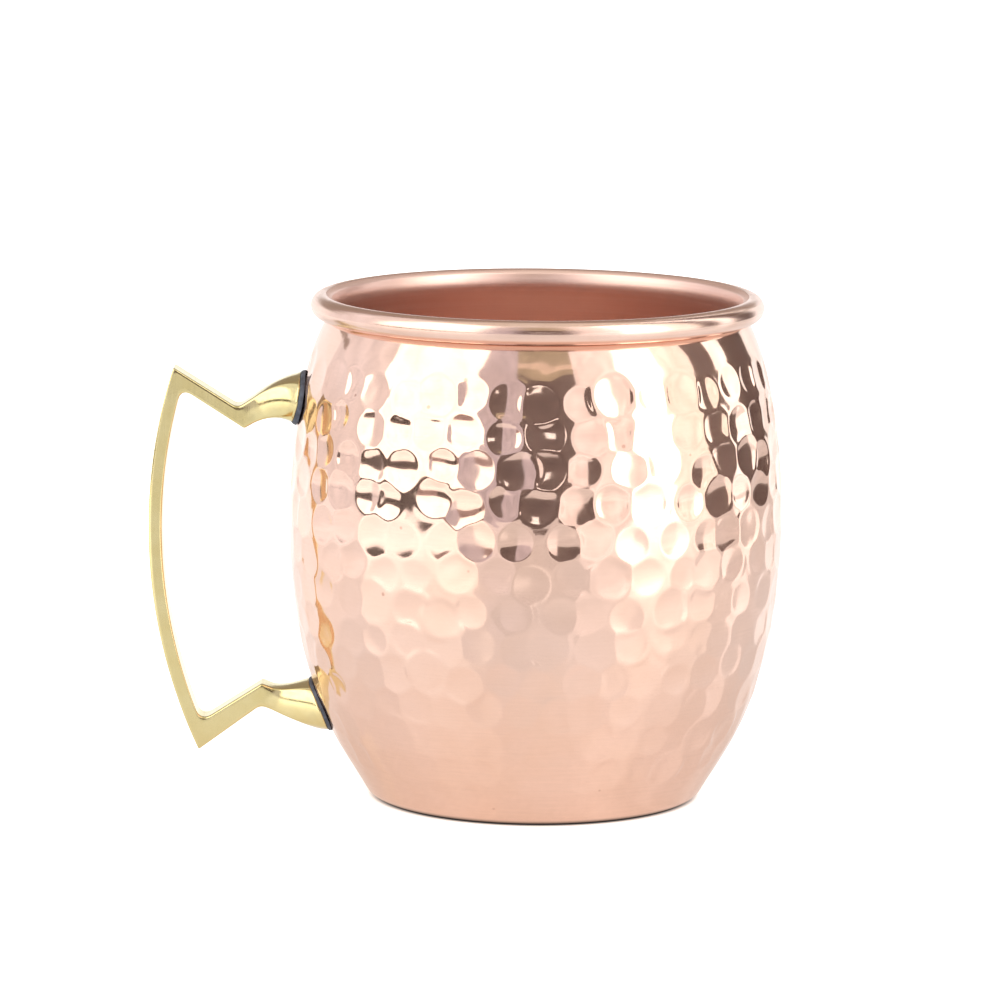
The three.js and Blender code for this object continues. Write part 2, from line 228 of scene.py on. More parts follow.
def polishedCopper():
    # Spun copper sheet, hammered and then buffed on the lathe. The buff leaves a mirror with a thin haze of
    # fine lines that run round the mug, and those smear highlights upright. Tarnish is a slow drift of
    # colour and a few small specks.
    material, tree, mirror = newMaterial("polishedCopperSheet")
    position = objectPosition(tree, 1.0)
    tarnish = addNode(tree, "TexNoise", {"Scale": 1 / 22, "Detail": 4.0, "Roughness": 0.55},
                      {"Vector": position})
    drift = addNode(tree, "ValToRGB", links={"Fac": tarnish.outputs["Fac"]})
    rampStops(drift, [(0.3, copperLook["warm"]), (0.7, copperLook["pale"])])
    specks = addNode(tree, "TexVoronoi", {"Scale": 1 / copperLook["speckSpacing"]}, {"Vector": position})
    speckMask = addNode(tree, "MapRange", {"From Min": 0.028, "From Max": 0.05,
                                           "To Min": 0.55, "To Max": 0.0},
                        {"Value": specks.outputs["Distance"]})
    colour = addNode(tree, "Mix", {"data_type": "RGBA", 7: linearColour(copperLook["speck"])},
                     {0: speckMask.outputs["Result"], 6: drift.outputs["Color"]})
    buffing = addNode(tree, "TexNoise", {"Scale": 1 / 6, "Detail": 6.0, "Roughness": 0.6},
                      {"Vector": position})
    smear = addNode(tree, "MapRange", {"From Min": 0.35, "From Max": 0.7, "To Min": 0.05, "To Max": 0.1},
                    {"Value": buffing.outputs["Fac"]})
    stretched = addNode(tree, "VectorMath", {"operation": "MULTIPLY", 1: (0.12, 0.12, 3.2)}, {0: position})
    lines = addNode(tree, "TexNoise", {"Scale": 1.0, "Detail": 4.0, "Roughness": 0.6},
                    {"Vector": stretched.outputs[0]})
    bump = addNode(tree, "Bump", {"Strength": 0.02, "Distance": 0.00004}, {"Height": lines.outputs["Fac"]})
    haze = addNode(tree, "BsdfPrincipled", {"Metallic": 1.0, "Roughness": copperLook["hazeRoughness"],
                                            "Anisotropic": copperLook["hazeStretch"]})
    roundMug = addNode(tree, "Tangent", {"direction_type": "RADIAL", "axis": "Z"})
    tree.links.new(roundMug.outputs["Tangent"], haze.inputs["Tangent"])
    hazeShare = addNode(tree, "MapRange", {"From Min": 0.3, "From Max": 0.7,
                                           "To Min": copperLook["hazeLeast"],
                                           "To Max": copperLook["hazeMost"]},
                        {"Value": lines.outputs["Fac"]})
    for shader in (mirror, haze):
        tree.links.new(colour.outputs[2], shader.inputs["Base Color"])
        tree.links.new(bump.outputs["Normal"], shader.inputs["Normal"])
    tree.links.new(smear.outputs["Result"], mirror.inputs["Roughness"])
    mirror.inputs["Metallic"].default_value = 1.0
    both = addNode(tree, "MixShader", links={0: hazeShare.outputs["Result"], 1: mirror.outputs[0],
                                             2: haze.outputs[0]})
    tree.links.new(both.outputs[0], tree.nodes["Material Output"].inputs["Surface"])
    return material


def satinCopper():
    # The same sheet inside, finished with an abrasive pad on the lathe: fine rings and a soft broad sheen.
    material, tree, shader = newMaterial("satinCopperSheet")
    position = objectPosition(tree, 1.0)
    parts = addNode(tree, "SeparateXYZ", links={"Vector": position})
    rings = addNode(tree, "CombineXYZ", links={"Z": parts.outputs["Z"]})
    stretch = addNode(tree, "VectorMath", {"operation": "MULTIPLY", 1: (0.02, 0.02, 3.0)}, {0: position})
    wobble = addNode(tree, "TexNoise", {"Scale": 1.0, "Detail": 5.0, "Roughness": 0.7},
                     {"Vector": stretch.outputs[0]})
    fine = addNode(tree, "TexNoise", {"Scale": 2.2, "Detail": 4.0}, {"Vector": rings.outputs[0]})
    both = addNode(tree, "Math", {"operation": "ADD"}, {0: wobble.outputs["Fac"], 1: fine.outputs["Fac"]})
    ramp = addNode(tree, "ValToRGB", links={"Fac": wobble.outputs["Fac"]})
    rampStops(ramp, [(0.3, copperLook["insideWarm"]), (0.7, copperLook["inside"])])
    rough = addNode(tree, "MapRange", {"From Min": 0.7, "From Max": 1.3, "To Min": 0.34, "To Max": 0.5},
                    {"Value": both.outputs["Value"]})
    bump = addNode(tree, "Bump", {"Strength": 0.25, "Distance": 0.00005}, {"Height": both.outputs["Value"]})
    tree.links.new(ramp.outputs["Color"], shader.inputs["Base Color"])
    tree.links.new(rough.outputs["Result"], shader.inputs["Roughness"])
    tree.links.new(bump.outputs["Normal"], shader.inputs["Normal"])
    shader.inputs["Metallic"].default_value = 1.0
    return material


def burnishedCopper():
    # The rolled bead: closed with a roller on the lathe, so it is smooth but less bright than the buffed
    # wall, with faint lines along the roll.
    material, tree, shader = newMaterial("burnishedCopperBead")
    position = objectPosition(tree, 1.0)
    cloud = addNode(tree, "TexNoise", {"Scale": 1 / 7, "Detail": 5.0, "Roughness": 0.6},
                    {"Vector": position})
    ramp = addNode(tree, "ValToRGB", links={"Fac": cloud.outputs["Fac"]})
    rampStops(ramp, [(0.3, copperLook["beadWarm"]), (0.7, copperLook["bead"])])
    stretched = addNode(tree, "VectorMath", {"operation": "MULTIPLY", 1: (0.15, 0.15, 3.5)}, {0: position})
    lines = addNode(tree, "TexNoise", {"Scale": 1.0, "Detail": 5.0, "Roughness": 0.65},
                    {"Vector": stretched.outputs[0]})
    rough = addNode(tree, "MapRange", {"From Min": 0.3, "From Max": 0.7, "To Min": 0.17, "To Max": 0.27},
                    {"Value": lines.outputs["Fac"]})
    bump = addNode(tree, "Bump", {"Strength": 0.06, "Distance": 0.00005}, {"Height": lines.outputs["Fac"]})
    tree.links.new(ramp.outputs["Color"], shader.inputs["Base Color"])
    tree.links.new(rough.outputs["Result"], shader.inputs["Roughness"])
    tree.links.new(bump.outputs["Normal"], shader.inputs["Normal"])
    shader.inputs["Metallic"].default_value = 1.0
    return material


def polishedBrass():
    # Sand-cast yellow brass, linished flat and buffed: pale gold, with faint marks that are a little duller.
    material, tree, shader = newMaterial("polishedCastBrass")
    cloud = addNode(tree, "TexNoise", {"Scale": 1.0, "Detail": 4.0, "Roughness": 0.6},
                    {"Vector": objectPosition(tree, 1 / 5)})
    ramp = addNode(tree, "ValToRGB", links={"Fac": cloud.outputs["Fac"]})
    rampStops(ramp, [(0.3, "#e8d79b"), (0.7, "#eee0aa")])
    lines = addNode(tree, "VectorMath", {"operation": "MULTIPLY", 1: (4.0, 0.25, 0.25)},
                    {0: objectPosition(tree, 1.0)})
    marks = addNode(tree, "TexNoise", {"Scale": 1.0, "Detail": 5.0, "Roughness": 0.65},
                    {"Vector": lines.outputs[0]})
    rough = addNode(tree, "MapRange", {"From Min": 0.3, "From Max": 0.75, "To Min": 0.09, "To Max": 0.2},
                    {"Value": marks.outputs["Fac"]})
    bump = addNode(tree, "Bump", {"Strength": 0.12, "Distance": 0.00006}, {"Height": marks.outputs["Fac"]})
    tree.links.new(ramp.outputs["Color"], shader.inputs["Base Color"])
    tree.links.new(rough.outputs["Result"], shader.inputs["Roughness"])
    tree.links.new(bump.outputs["Normal"], shader.inputs["Normal"])
    shader.inputs["Metallic"].default_value = 1.0
    return material


def turnedBrass():
    # Screws and washers, turned from brass rod and left satin, a little browner where drink sits round them.
    material, tree, shader = newMaterial("satinTurnedBrass")
    cloud = addNode(tree, "TexNoise", {"Scale": 1.0, "Detail": 5.0, "Roughness": 0.6},
                    {"Vector": objectPosition(tree, 1 / 1.6)})
    ramp = addNode(tree, "ValToRGB", links={"Fac": cloud.outputs["Fac"]})
    rampStops(ramp, [(0.32, "#cfb072"), (0.68, "#ead49a")])
    rough = addNode(tree, "MapRange", {"From Min": 0.3, "From Max": 0.7, "To Min": 0.2, "To Max": 0.38},
                    {"Value": cloud.outputs["Fac"]})
    grain = addNode(tree, "TexNoise", {"Scale": 1.0, "Detail": 3.0},
                    {"Vector": objectPosition(tree, 1 / 0.25)})
    bump = addNode(tree, "Bump", {"Strength": 0.2, "Distance": 0.00005}, {"Height": grain.outputs["Fac"]})
    tree.links.new(ramp.outputs["Color"], shader.inputs["Base Color"])
    tree.links.new(rough.outputs["Result"], shader.inputs["Roughness"])
    tree.links.new(bump.outputs["Normal"], shader.inputs["Normal"])
    shader.inputs["Metallic"].default_value = 1.0
    return material


def blackRubber():
    # Moulded nitrile rubber: blue-black with a dusty bloom that greys it, and a fine pitted skin.
    material, tree, shader = newMaterial("mouldedRubber")
    bloom = addNode(tree, "TexNoise", {"Scale": 1.0, "Detail": 5.0},
                    {"Vector": objectPosition(tree, 1 / 1.2)})
    ramp = addNode(tree, "ValToRGB", links={"Fac": bloom.outputs["Fac"]})
    rampStops(ramp, [(0.3, "#3b404c"), (0.75, "#5f6778")])
    pits = addNode(tree, "TexNoise", {"Scale": 1.0, "Detail": 2.0},
                   {"Vector": objectPosition(tree, 1 / 0.2)})
    bump = addNode(tree, "Bump", {"Strength": 0.3, "Distance": 0.00005}, {"Height": pits.outputs["Fac"]})
    tree.links.new(ramp.outputs["Color"], shader.inputs["Base Color"])
    tree.links.new(bump.outputs["Normal"], shader.inputs["Normal"])
    shader.inputs["Roughness"].default_value = 0.55
    shader.inputs["IOR"].default_value = 1.52
    return material


copperOutside = polishedCopper()
copperInside = satinCopper()
copperBead = burnishedCopper()
brassCast = polishedBrass()
brassTurned = turnedBrass()
rubber = blackRubber()
print("materials made")


hammering = {
    "rows": 12,
    "topRow": 80.4,  # height of the first row
    "rowStep": 6.5,  # along the wall
    "marksRound": 40,
    "firstMark": 2.4,  # degrees from the front, towards +X
    "radius": 3.5,
    "radiusSpread": (0.84, 1.12),
    "depth": 0.36,  # on the shoulder
    "lowDepth": 0.17,  # below the belly, where the blows were lighter
    "footDepth": 0.11,  # and in the lowest row
    "depthSpread": (0.6, 1.25),
    "fade": (43.0, 69.0),  # heights between which they go from light to deep
    "dish": 2.1,  # 2 is a plain dish, and more has a flatter middle and steeper sides
    "edge": (0.92, 1.18),  # where a mark starts and stops giving way to what lies round it, per radius
    "rimBand": (0.88, 1.08),  # the ring that sets a mark's level on the sheet, per radius
    "tilt": 0.03,  # slope of a mark struck off square
    "tiltSpread": 0.6,  # how much that varies, as a share of it
    "wander": 0.85,  # how far a mark strays from its place
    "wanderAlong": 0.6,  # the share of that along the wall
    "slip": 0.45,  # how far a row strays round the mug, in marks
    "ripple": 0.0011,  # height of the slow unevenness, as a share of its wavelength
    "rippleWaves": (4.0, 15.0),  # its shortest and longest wavelengths
    "rippleCount": 36,
    "standDown": 0.06,  # how far the sheet lies under the wall's outline, so that the lips of marks show
    "lip": 0.03,  # how softly the highest lips are planished level with that outline
    "insideShare": 0.5,  # how much of each mark shows through inside
    "insideEdge": (0.45, 1.25),
    "start": 0.5,  # above the base's corner, along the wall
    "top": 86.0,  # height where the fine mesh ends
    "easeIn": 6.0,  # how far the ripple and the stand-down take to come in at the base
    "easeOut": 3.0,  # and to go out at the neck
    "seed": 11,
}


def hammerMarks():  # every blow's place along the wall, angle, reach, depth and tilt, as they were struck
    chance = random.Random(hammering["seed"])
    fadeFrom, fadeTo = hammering["fade"]
    top = np.interp(hammering["topRow"], linePoints[sideMask][:, 1], lineLength[sideMask])
    marks = []
    for row in range(hammering["rows"]):
        share = row / (hammering["rows"] - 1)
        slip = chance.uniform(-hammering["slip"], hammering["slip"])
        for number in range(hammering["marksRound"]):
            along = chance.gauss(0, hammering["wander"] * hammering["wanderAlong"])
            at = top - row * hammering["rowStep"] + along
            radiusHere, level = [np.interp(at, lineLength, linePoints[:, i]) for i in (0, 1)]
            rise = min(max((level - fadeFrom) / (fadeTo - fadeFrom), 0), 1)
            light = hammering["lowDepth"] + (hammering["footDepth"] - hammering["lowDepth"]) * share ** 2
            depth = light + (hammering["depth"] - light) * rise * rise * (3 - 2 * rise)
            turn = 2 * math.pi * (number + slip) / hammering["marksRound"]
            stray = chance.gauss(0, hammering["wander"]) / radiusHere
            turn += math.radians(hammering["firstMark"] - 90) + stray
            tilt = [chance.gauss(0, hammering["tilt"] * hammering["tiltSpread"]) for _ in (0, 1)]
            reach = hammering["radius"] * chance.uniform(*hammering["radiusSpread"])
            marks.append((at, turn, reach, depth * chance.uniform(*hammering["depthSpread"]), tilt))
    chance.shuffle(marks)
    return marks


def hammerDepth(marks, rowLengths, rowRadii, columns, edge):  # how far the face is pressed in
    field = np.zeros((len(rowLengths), columns))
    step = 2 * math.pi / columns
    starts, stops = edge
    rimFrom, rimTo = hammering["rimBand"]
    for at, turn, reach, depth, tilt in marks:
        rows = np.where(abs(rowLengths - at) < reach * stops)[0]
        if not len(rows):
            continue
        radiusHere = np.interp(at, lineLength, linePoints[:, 0])
        middle, span = int(round(turn / step)), int(reach * stops / (radiusHere * step)) + 2
        picked = np.arange(middle - span, middle + span + 1)
        across = (picked * step - turn) * rowRadii[rows][:, None]
        down = (rowLengths[rows] - at)[:, None]
        share = np.hypot(across, down) / reach
        dish = depth * (1 - share ** hammering["dish"]) + tilt[0] * across + tilt[1] * down
        window = np.ix_(rows, picked % columns)
        rim = (share > rimFrom) & (share < rimTo)
        mask = np.clip((stops - share) / (stops - starts), 0, 1)
        mask = mask * mask * (3 - 2 * mask)
        before = field[window]
        field[window] = before + (dish + before[rim].mean() - before) * mask
    return field


def rippledSheet(rowLengths, columns):  # slow unevenness of the beaten sheet, by row and column
    chance = random.Random(hammering["seed"] + 1)
    angle = np.arange(columns) * 2 * math.pi / columns
    field = np.zeros((len(rowLengths), columns))
    for _ in range(hammering["rippleCount"]):
        wave = chance.uniform(*hammering["rippleWaves"])
        way = chance.uniform(0, math.pi)
        around = round(2 * math.pi * mugBody["bellyRadius"] / wave * math.cos(way))
        along = 2 * math.pi / wave * math.sin(way)
        phase = chance.uniform(0, 2 * math.pi)
        swell = np.cos(around * angle[None, :] + along * rowLengths[:, None] + phase)
        field += wave * hammering["ripple"] / 2 * swell
    return field


def buffed(field):  # one pass over each point and its neighbours takes the sharpness off the ridges
    field = field / 2 + (np.roll(field, 1, axis=1) + np.roll(field, -1, axis=1)) / 4
    field[1:-1] = field[1:-1] / 2 + (field[:-2] + field[2:]) / 4
    return field


def bodyMesh():
    size = mugBody
    columns = size["columns"]
    step, plain = size["hammeredStep"], size["plainStep"]
    hammeredFrom = lineEnds["corner"] + hammering["start"]
    hammeredTo = np.interp(hammering["top"], linePoints[sideMask][:, 1], lineLength[sideMask])
    mouthEnd = lineEnds["upper"] - size["mouthDepth"]
    outside = np.concatenate([
        np.linspace(1.0, lineEnds["base"], 8),
        np.linspace(lineEnds["base"], hammeredFrom, 9)[1:],
        np.arange(hammeredFrom + step, hammeredTo, step),
        np.linspace(hammeredTo, lineEnds["upper"], 8)[1:],
        np.linspace(lineEnds["upper"], lineEnds["throat"], 12)[1:],
        np.linspace(lineEnds["throat"], lineEnds["curl"], 24)[1:],
    ])
    mouthFrom = size["curlRows"] - 6
    mouthTo = size["curlRows"] + size["neckRows"] + size["mouthRows"] - 3
    inside = np.concatenate([
        np.linspace(lineEnds["curl"], lineEnds["throat"], size["curlRows"]),
        np.linspace(lineEnds["throat"], lineEnds["upper"], size["neckRows"])[1:],
        np.linspace(lineEnds["upper"], mouthEnd, size["mouthRows"])[1:],
        np.arange(mouthEnd - plain / 2, hammeredFrom, -plain / 2),
        np.linspace(hammeredFrom, lineEnds["base"], 9)[1:],
        np.linspace(lineEnds["base"], 1.0, 8)[1:],
    ])
    outPoints, outNormals = onWall(outside)
    inPoints, inNormals = onWall(inside)
    marks = hammerMarks()
    press = hammerDepth(marks, outside, outPoints[:, 0], columns, hammering["edge"])
    worked = np.clip((outside - hammeredFrom) / hammering["easeIn"], 0, 1)
    worked = worked * np.clip((lineEnds["upper"] - outside) / hammering["easeOut"], 0, 1)
    press += (rippledSheet(outside, columns) + hammering["standDown"]) * worked[:, None]
    press = buffed(press)
    press = (press + np.hypot(press, hammering["lip"])) / 2  # nothing stands proud of the wall's own outline
    soft = hammerDepth(marks, inside, inPoints[:, 0], columns, hammering["insideEdge"])
    soft *= hammering["insideShare"]
    eased = inPoints - size["wall"] * inNormals  # the rolled mouth runs into the inside without a corner
    for _ in range(size["mouthEasing"]):
        middle = (eased[mouthFrom - 1:mouthTo - 1] + eased[mouthFrom + 1:mouthTo + 1]) / 2
        eased[mouthFrom:mouthTo] += 0.5 * (middle - eased[mouthFrom:mouthTo])
    rows = []
    for points, normals, push in ((outPoints, outNormals, press), (eased, inNormals, soft)):
        rows.append(points[:, None, :] - normals[:, None, :] * push[:, :, None])
    rows = np.concatenate(rows)
    angle = np.arange(columns) * 2 * math.pi / columns
    across = rows[:, :, 0]
    vertices = np.stack([across * np.cos(angle), across * np.sin(angle), rows[:, :, 1]], 2).reshape(-1, 3)
    count = len(rows)
    first = np.arange(count - 1)[:, None] * columns + np.arange(columns)[None, :]
    beside = np.arange(count - 1)[:, None] * columns + (np.arange(columns)[None, :] + 1) % columns
    quads = np.stack([first, beside, beside + columns, first + columns], 2).reshape(-1, 4)
    bottom, floorTop = len(vertices), len(vertices) + 1
    vertices = np.concatenate([vertices, [[0, 0, 0], [0, 0, size["wall"]]]])
    faces = quads.tolist()
    last = (count - 1) * columns
    faces += [[bottom, (i + 1) % columns, i] for i in range(columns)]
    faces += [[floorTop, last + i, last + (i + 1) % columns] for i in range(columns)]
    satinFrom = len(outside) + size["burnishedRows"]
    slots = np.zeros(count - 1, int)
    slots[len(outside):satinFrom] = 2
    slots[satinFrom:] = 1
    slots = np.concatenate([np.repeat(slots, columns), np.zeros(columns, int), np.ones(columns, int)])
    return vertices, faces, slots


bodyVertices, bodyFaces, bodySlots = bodyMesh()
body = newPiece("hammered_body", bodyVertices, bodyFaces,
                [copperOutside, copperInside, copperBead], bodySlots)
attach(body, "root")
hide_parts("body_shell")
print("body made,", len(bodyFaces), "faces")


handleSize = {
    "depth": 6.4,
    "reach": 26.1,
    "barThickness": 2.6,
    "edgeRound": 0.55,
    "upperJointDrop": 19.6,
    "lowerJointHeight": 16.5,
    "tipRise": 5.6,
    "tipReach": 23.5,
    "heelDrop": 8.6,
    "heelReach": 22.9,
    "armSlope": 32.5,
    "cornerRound": 2.4,
    "tipRound": 0.45,
    "valleyRound": 1.1,
    "vertexRound": 0.4,
    "footHalfWidth": 8.7,
    "footRoundness": 2.3,
    "footFlare": 2.3,
    "footBlend": 0.75,  # how soon the section turns oval
    "footStart": 0.13,  # where a foot takes over from the bar, as a share of its length
    "footSteps": 16,
    "waviness": 0.05,  # hand-polished flats are never quite flat
    "wavinessSpacing": 7.0,
}
# A foot reaches out from the wall and deep into it. Its edges and its valley are measured from its joint.
upperFoot = {
    "level": mugBody["height"] - handleSize["upperJointDrop"],
    "out": 10.3,
    "deep": 2.9,
    "face": 0.84,  # gap from the wall to the foot
    "top": (-1.3, 2.95, 4.65, 4.9),
    "bottom": (-5.8, -3.35, -2.75, -8.65),
    "valley": (11.6, -1.8),
}
lowerFoot = {
    "level": handleSize["lowerJointHeight"],
    "out": 11.1,
    "deep": 4.0,
    "face": 0.62,
    "top": (4.15, 1.45, 7.55, 3.35),
    "bottom": (-0.05, -2.65, -5.6, -4.35),
    "valley": (11.3, -0.1),
}


def cubic(values, t):
    a, b, c, d = values
    s = 1 - t
    return s ** 3 * a + 3 * s ** 2 * t * b + 3 * s * t ** 2 * c + t ** 3 * d


def fromJoint(level, out, rise):
    return np.array([-wallRadius(level) - out, level + rise])


def sectionRing(rounding, halfWidth, halfHeight):  # a rounded rectangle, as (across, up) pairs going round
    corners = [(1, 1), (-1, 1), (-1, -1), (1, -1)]
    flats = [(0.06, 0.28, 0.5, 0.72, 0.94), (0.12, 0.5, 0.88)]  # points along the wide and narrow faces
    arcPoints = 6
    ring = []
    for number, (sx, sz) in enumerate(corners):
        start = number * math.pi / 2
        for i in range(arcPoints):
            angle = start + i / (arcPoints - 1) * math.pi / 2
            ring.append((sx * (halfWidth - rounding) + rounding * math.cos(angle),
                         sz * (halfHeight - rounding) + rounding * math.sin(angle)))
        nextCorner = corners[(number + 1) % 4]
        angle = start + math.pi / 2
        end = (nextCorner[0] * (halfWidth - rounding) + rounding * math.cos(angle),
               nextCorner[1] * (halfHeight - rounding) + rounding * math.sin(angle))
        here = ring[-1]
        for share in flats[number % 2]:
            ring.append((here[0] + (end[0] - here[0]) * share, here[1] + (end[1] - here[1]) * share))
    return np.array(ring)


def ovalRing(ring, halfWidth, halfHeight, power):  # the same points, moved out to an oval
    angle = np.arctan2(ring[:, 1] / halfHeight, ring[:, 0] / halfWidth)
    c, s = np.cos(angle), np.sin(angle)
    reach = (abs(c) ** power + abs(s) ** power) ** (-1 / power)
    return np.stack([halfWidth * reach * c, halfHeight * reach * s], 1)


def footRing(foot, along, extra=0.0):  # a foot's section at a share of its length, as (x, y, z) points
    size = handleSize
    length = foot["out"] + foot["deep"]
    atWall = min(1.0, along * length / foot["out"])
    top = foot["level"] + cubic(foot["top"], along) + extra
    bottom = foot["level"] + cubic(foot["bottom"], along) - extra
    flare = (size["footHalfWidth"] - size["depth"] / 2) * atWall ** size["footFlare"]
    halfWidth = size["depth"] / 2 + flare + extra
    halfHeight = (top - bottom) / 2
    square = sectionRing(size["edgeRound"], halfWidth, halfHeight)
    oval = ovalRing(square, halfWidth, halfHeight, size["footRoundness"])
    blend = atWall ** size["footBlend"]
    ring = square * (1 - blend) + oval * blend
    x = -wallRadius(foot["level"]) - foot["out"] + along * length
    return np.stack([np.full(len(ring), x), ring[:, 0], (top + bottom) / 2 + ring[:, 1]], 1)


def footMeets(foot, off, extra=0.0):  # how far along the foot each ring point meets an offset wall
    low = np.zeros(len(footRing(foot, 0.0)))
    high = np.ones(len(low))
    for _ in range(30):  # halvings
        middle = (low + high) / 2
        points = np.array([footRing(foot, m, extra)[i] for i, m in enumerate(middle)])
        outsideIt = np.hypot(points[:, 0], points[:, 1]) > wallRadius(points[:, 2], off)
        low = np.where(outsideIt, middle, low)
        high = np.where(outsideIt, high, middle)
    return low


def footRings(foot):  # from near the root to the saddle that sits on the pad
    fromAlong, steps = handleSize["footStart"], handleSize["footSteps"]
    ends = footMeets(foot, foot["face"])
    rings = []
    for i in range(steps + 1):
        shares = fromAlong + (ends - fromAlong) * i / steps
        rings.append(np.array([footRing(foot, s)[k] for k, s in enumerate(shares)]))
    return rings


def barRing(outer, inner):  # the bar's section between a point of its outer edge and one of its inner edge
    size = handleSize
    half = np.linalg.norm(outer - inner) / 2
    up = (outer - inner) / (2 * half)
    middle = (outer + inner) / 2
    ring = sectionRing(min(size["edgeRound"], half * 0.8), size["depth"] / 2, half)
    return np.stack([middle[0] + up[0] * ring[:, 1], ring[:, 0], middle[1] + up[1] * ring[:, 1]], 1)


def roundedCorner(before, corner, after, size, t):
    start = corner + (before - corner) / np.linalg.norm(before - corner) * size
    end = corner + (after - corner) / np.linalg.norm(after - corner) * size
    return (1 - t) ** 2 * start + 2 * (1 - t) * t * corner + t ** 2 * end


def circleThrough(a, b, c):
    rowsOf = 2 * np.array([b - a, c - a])
    centre = np.linalg.solve(rowsOf, [b @ b - a @ a, c @ c - a @ a])
    return centre, np.linalg.norm(a - centre)


def meetsArc(point, slope, centre, radius):
    way = np.array([-math.cos(slope), math.sin(slope)])
    start = point - centre
    half = start @ way
    return point + way * (-half + math.sqrt(half * half - start @ start + radius * radius))


def barEdges():  # pairs of points on the outer and inner edges, from the upper root to the lower root
    size = handleSize
    up, low = upperFoot, lowerFoot
    tip = fromJoint(up["level"], size["tipReach"], size["tipRise"])
    heel = fromJoint(low["level"], size["heelReach"], -size["heelDrop"])
    middle = np.array([-mugBody["bellyRadius"] - size["reach"], (up["level"] + low["level"]) / 2])
    centre, radius = circleThrough(tip, middle, heel)
    inner = radius - size["barThickness"]
    rootUp = fromJoint(up["level"], up["out"], up["bottom"][0])
    rootLow = fromJoint(low["level"], low["out"], low["top"][0])
    valleyUp = fromJoint(up["level"], *up["valley"])
    valleyLow = fromJoint(low["level"], *low["valley"])
    slope = math.radians(size["armSlope"])
    cornerUp = meetsArc(rootUp, slope, centre, inner)
    cornerLow = meetsArc(rootLow, -slope, centre, inner)
    near = 0.06  # a little way along a foot, to give its edges' direction

    def footEdge(foot, side):
        x = -wallRadius(foot["level"]) - foot["out"] + near * (foot["out"] + foot["deep"])
        return np.array([x, foot["level"] + cubic(foot[side], near)])

    def onArc(r, angle):
        return centre + r * np.array([math.cos(angle), math.sin(angle)])

    def angleOf(point):
        return math.atan2(point[1] - centre[1], point[0] - centre[0]) % (2 * math.pi)

    def joined(start, end):  # the straight stretch between two pairs
        shares = np.linspace(0, 1, 7)[1:-1]
        return [tuple(start[k] + (end[k] - start[k]) * t for k in (0, 1)) for t in shares]

    trim = size["cornerRound"] / inner
    tipTrim = size["tipRound"] / radius
    roundSteps = np.linspace(0, 1, 9)
    pairs = []
    for t in roundSteps:
        pairs.append((roundedCorner(footEdge(up, "top"), valleyUp, tip, size["valleyRound"], t),
                      roundedCorner(footEdge(up, "bottom"), rootUp, cornerUp, size["vertexRound"], t)))
    after = onArc(inner, angleOf(cornerUp) + trim)
    outside = onArc(radius, angleOf(tip) + 5 * tipTrim)
    tipPairs = [(roundedCorner(valleyUp, tip, outside, size["tipRound"], t),
                 roundedCorner(rootUp, cornerUp, after, size["cornerRound"], t)) for t in roundSteps]
    pairs += joined(pairs[-1], tipPairs[0])
    pairs += tipPairs
    outFrom, outTo = angleOf(tipPairs[-1][0]), angleOf(heel) - tipTrim
    inFrom, inTo = angleOf(cornerUp) + trim, angleOf(cornerLow) - trim
    for t in np.linspace(0, 1, 33)[1:-1]:
        pairs.append((onArc(radius, outFrom + (outTo - outFrom) * t),
                      onArc(inner, inFrom + (inTo - inFrom) * t)))
    before = onArc(inner, inTo)
    outside = onArc(radius, outTo)
    heelPairs = [(roundedCorner(outside, heel, valleyLow, size["tipRound"], t),
                  roundedCorner(before, cornerLow, rootLow, size["cornerRound"], t)) for t in roundSteps]
    pairs += heelPairs
    rootPairs = [(roundedCorner(heel, valleyLow, footEdge(low, "bottom"), size["valleyRound"], t),
                  roundedCorner(cornerLow, rootLow, footEdge(low, "top"), size["vertexRound"], t))
                 for t in roundSteps]
    pairs += joined(heelPairs[-1], rootPairs[0])
    return pairs + rootPairs


def closedTube(rings):  # quads between rings and a fan at each end
    count = len(rings[0])
    vertices = [tuple(p) for ring in rings for p in ring]
    faces = []
    for i in range(len(rings) - 1):
        for k in range(count):
            faces.append([i * count + k, i * count + (k + 1) % count,
                          (i + 1) * count + (k + 1) % count, (i + 1) * count + k])
    for ringAt, flip in ((0, True), (len(rings) - 1, False)):
        centre = len(vertices)
        vertices.append(tuple(np.mean(rings[ringAt], axis=0)))
        for k in range(count):
            face = [ringAt * count + k, ringAt * count + (k + 1) % count, centre]
            faces.append(face[::-1] if flip else face)
    return vertices, faces


def outwardFaces(piece):
    sheet = bmesh.new()
    sheet.from_mesh(piece.data)
    bmesh.ops.recalc_face_normals(sheet, faces=sheet.faces)
    sheet.to_mesh(piece.data)
    sheet.free()


upRings = footRings(upperFoot)[::-1]
lowRings = footRings(lowerFoot)
barRings = [barRing(outer, inner) for outer, inner in barEdges()]


def matchOrder(reference, ring):  # the order of a ring's points that lies closest to the reference ring
    best, bestCost = None, 1e9
    count = len(ring)
    for candidate in (ring, ring[::-1]):
        for shift in range(count):
            rolled = np.roll(candidate, shift, axis=0)
            cost = np.linalg.norm(rolled - reference, axis=1).sum()
            if cost < bestCost:
                best, bestCost = (candidate is not ring, shift), cost
    return best


def reorder(ring, order):
    reverse, shift = order
    return np.roll(ring[::-1] if reverse else ring, shift, axis=0)


